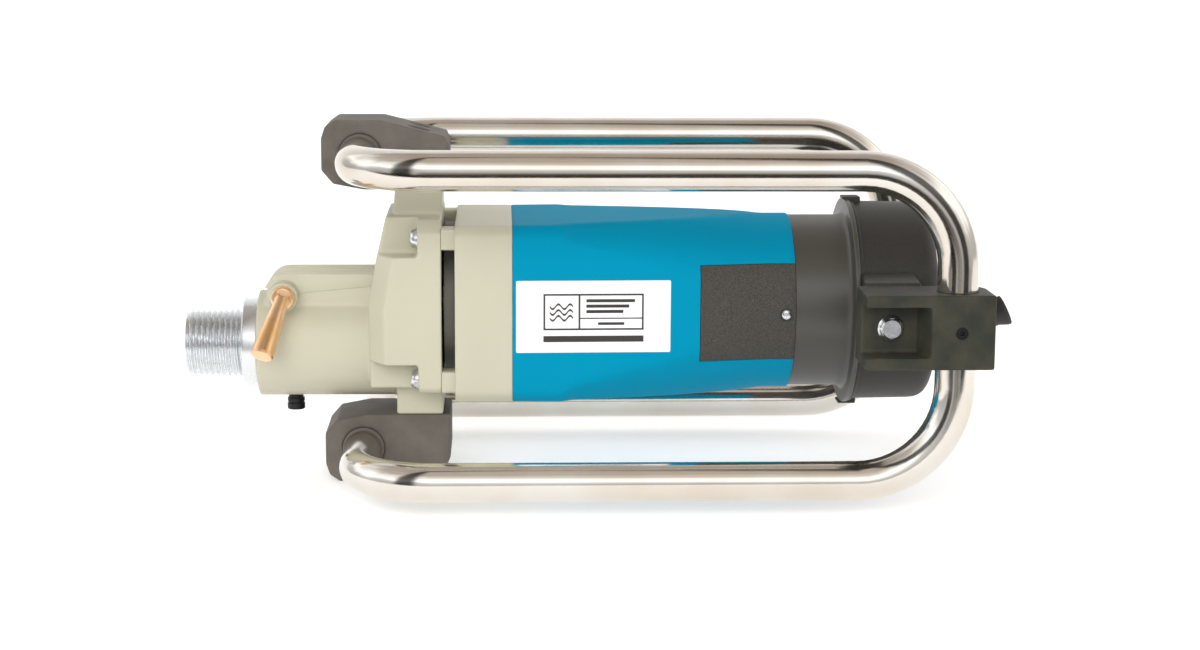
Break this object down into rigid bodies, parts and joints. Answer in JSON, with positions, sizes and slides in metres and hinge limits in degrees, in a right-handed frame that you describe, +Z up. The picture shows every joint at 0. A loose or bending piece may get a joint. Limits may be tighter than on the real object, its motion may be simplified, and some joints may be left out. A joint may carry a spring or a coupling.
{
  "type": "concrete vibrator drive unit",
  "caption": "Hand-carried electric drive unit of a concrete vibrator with a threaded outlet for a flexible shaft, a lock lever and a chromed tube carrying frame",
  "frame": {"origin": "centre of the footprint at ground level", "axes": "motor axis along X with the output thread at -X and the cord gland at +X, Z up"},
  "size_m": [0.441, 0.23, 0.191],
  "materials": {
    "cast_cream": "satin",
    "housing_blue": "satin",
    "dark_plastic": "textured",
    "bracket_grey": "matt",
    "clamp_dark": "satin",
    "tube_chrome": "mirror",
    "zinc": "zinc plated",
    "yellow_zinc": "yellow passivated",
    "black_oxide": "black oxide",
    "steel": "ground",
    "lamination": "laminated",
    "copper": "enamelled",
    "brass": "plain",
    "carbon": "matt",
    "fan_grey": "cast",
    "bush_grey": "matt",
    "rubber_black": "matt",
    "label_white": "coated",
    "switch_red": "gloss"
  },
  "bodies": {
    "drive_unit": {"gearcase": "cast_cream", "gear_cover": "fan_grey", "gear_cover_screws": "zinc", "fan_housing": "cast_cream", "fan_baffle": "rubber_black", "gearcase_screws": "zinc", "motor_housing": "housing_blue", "rear_housing": "dark_plastic", "rear_cap": "dark_plastic", "cap_screws": "zinc", "name_label": "label_white", "brush_cover_left": "dark_plastic", "brush_cover_right": "dark_plastic", "brush_cover_screws": "zinc", "brush_holder_left": "brass", "brush_holder_right": "brass", "carbon_brush_left": "carbon", "carbon_brush_right": "carbon", "stator_core": "lamination", "field_coils": "copper", "armature_bearing_front": "steel", "armature_bearing_rear": "steel", "spindle_bearing_front": "steel", "spindle_bearing_rear": "steel", "spindle_seal": "rubber_black", "thread_connector": "zinc", "connector_set_screw": "black_oxide", "top_bracket": "bracket_grey", "bottom_bracket": "bracket_grey", "bracket_bolts": "black_oxide", "tube_bushes": "bush_grey", "handle_tube_left": "tube_chrome", "handle_tube_right": "tube_chrome", "clamp_left": "clamp_dark", "clamp_right": "clamp_dark", "clamp_bolts": "zinc", "clamp_grub_screws": "black_oxide", "switch_body": "rubber_black", "cord_gland": "rubber_black"},
    "armature": {"armature_shaft": "steel", "armature_core": "lamination", "armature_windings": "copper", "commutator": "copper", "cooling_fan": "fan_grey", "motor_pinion": "steel"},
    "spindle": {"output_spindle": "steel", "driven_gear": "steel"},
    "lever": {"lock_lever": "yellow_zinc", "lever_clip": "steel"},
    "plunger": {"lock_plunger": "steel"},
    "rocker": {"switch_rocker": "switch_red"}
  },
  "joints": [
    {"name": "armature_spin", "type": "hinge", "parent": "drive_unit", "child": "armature", "pos_m": [0, 0, 0.0935], "axis": [1, 0, 0], "continuous": true},
    {"name": "spindle_spin", "type": "hinge", "parent": "drive_unit", "child": "spindle", "pos_m": [-0.15, 0, 0.071], "axis": [1, 0, 0], "continuous": true},
    {"name": "lever_turn", "type": "hinge", "parent": "drive_unit", "child": "lever", "pos_m": [-0.1677, 0, 0.0994], "axis": [0, 1, 0], "range_deg": [0, 90]},
    {"name": "plunger_slide", "type": "slide", "parent": "drive_unit", "child": "plunger", "axis": [0, 0, -1], "range_m": [0, 0.0025]},
    {"name": "rocker_tilt", "type": "hinge", "parent": "drive_unit", "child": "rocker", "pos_m": [0.1691, 0.026, 0.095], "axis": [0, 1, 0], "range_deg": [-16, 0]}
  ],
  "couplings": [
    {"joint": "spindle_spin", "follows": "armature_spin", "ratio": -0.63636},
    {"joint": "plunger_slide", "follows": "lever_turn", "m_per_rad": 0.0015915}
  ]
}
